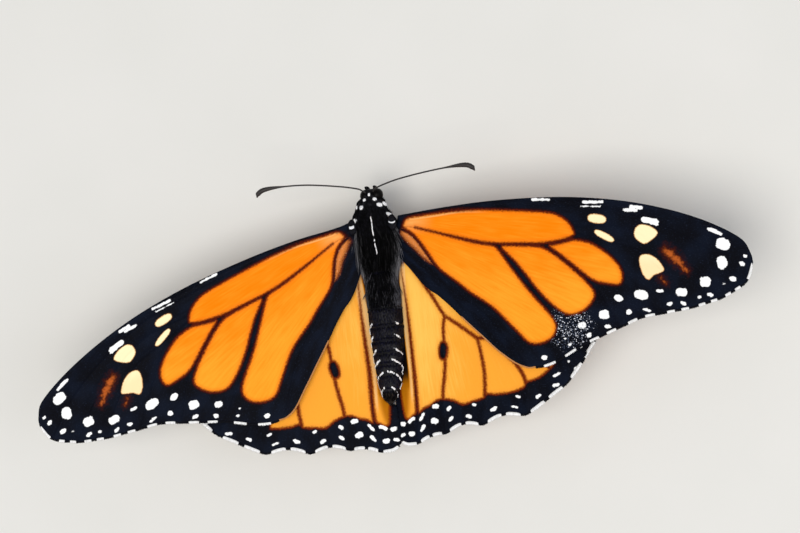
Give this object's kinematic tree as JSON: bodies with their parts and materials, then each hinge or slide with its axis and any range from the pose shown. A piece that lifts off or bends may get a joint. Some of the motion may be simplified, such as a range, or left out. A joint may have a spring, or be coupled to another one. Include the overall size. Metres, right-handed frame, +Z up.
{
  "type": "monarch butterfly",
  "caption": "Life-size monarch butterfly standing with its orange and black wings spread, modelled whole from antennae to abdomen tip.",
  "frame": {"origin": "on the floor under the middle of the spread butterfly", "axes": "+Z up from the floor, +X towards the butterfly's right wing tip, +Y towards its head"},
  "size_m": [0.0992, 0.0374, 0.0184],
  "materials": {
    "forewing_scales": "orange wing scales with black veins and borders, cream and white spots",
    "hindwing_scales": "yellow-orange wing scales with black veins and a white-dotted black border",
    "body_hair": "black hair and scales with small white dots",
    "eye": "dark faceted compound eye",
    "horn": "black ringed feeler and tongue",
    "leg": "black scaled leg"
  },
  "bodies": {
    "root": {"abdomen": "body_hair", "antenna_L": "horn", "antenna_R": "horn", "eye_L": "eye", "eye_R": "eye", "foreleg_L": "leg", "foreleg_R": "leg", "forewing_L": "forewing_scales", "forewing_R": "forewing_scales", "head": "body_hair", "hindleg_L_femur": "leg", "hindleg_L_tarsus": "leg", "hindleg_L_tibia": "leg", "hindleg_R_femur": "leg", "hindleg_R_tarsus": "leg", "hindleg_R_tibia": "leg", "hindwing_L": "hindwing_scales", "hindwing_R": "hindwing_scales", "midleg_L_femur": "leg", "midleg_L_tarsus": "leg", "midleg_L_tibia": "leg", "midleg_R_femur": "leg", "midleg_R_tarsus": "leg", "midleg_R_tibia": "leg", "palp_L": "body_hair", "palp_R": "body_hair", "proboscis": "horn", "tegula_L": "body_hair", "tegula_R": "body_hair", "thorax": "body_hair"}
  },
  "joints": []
}
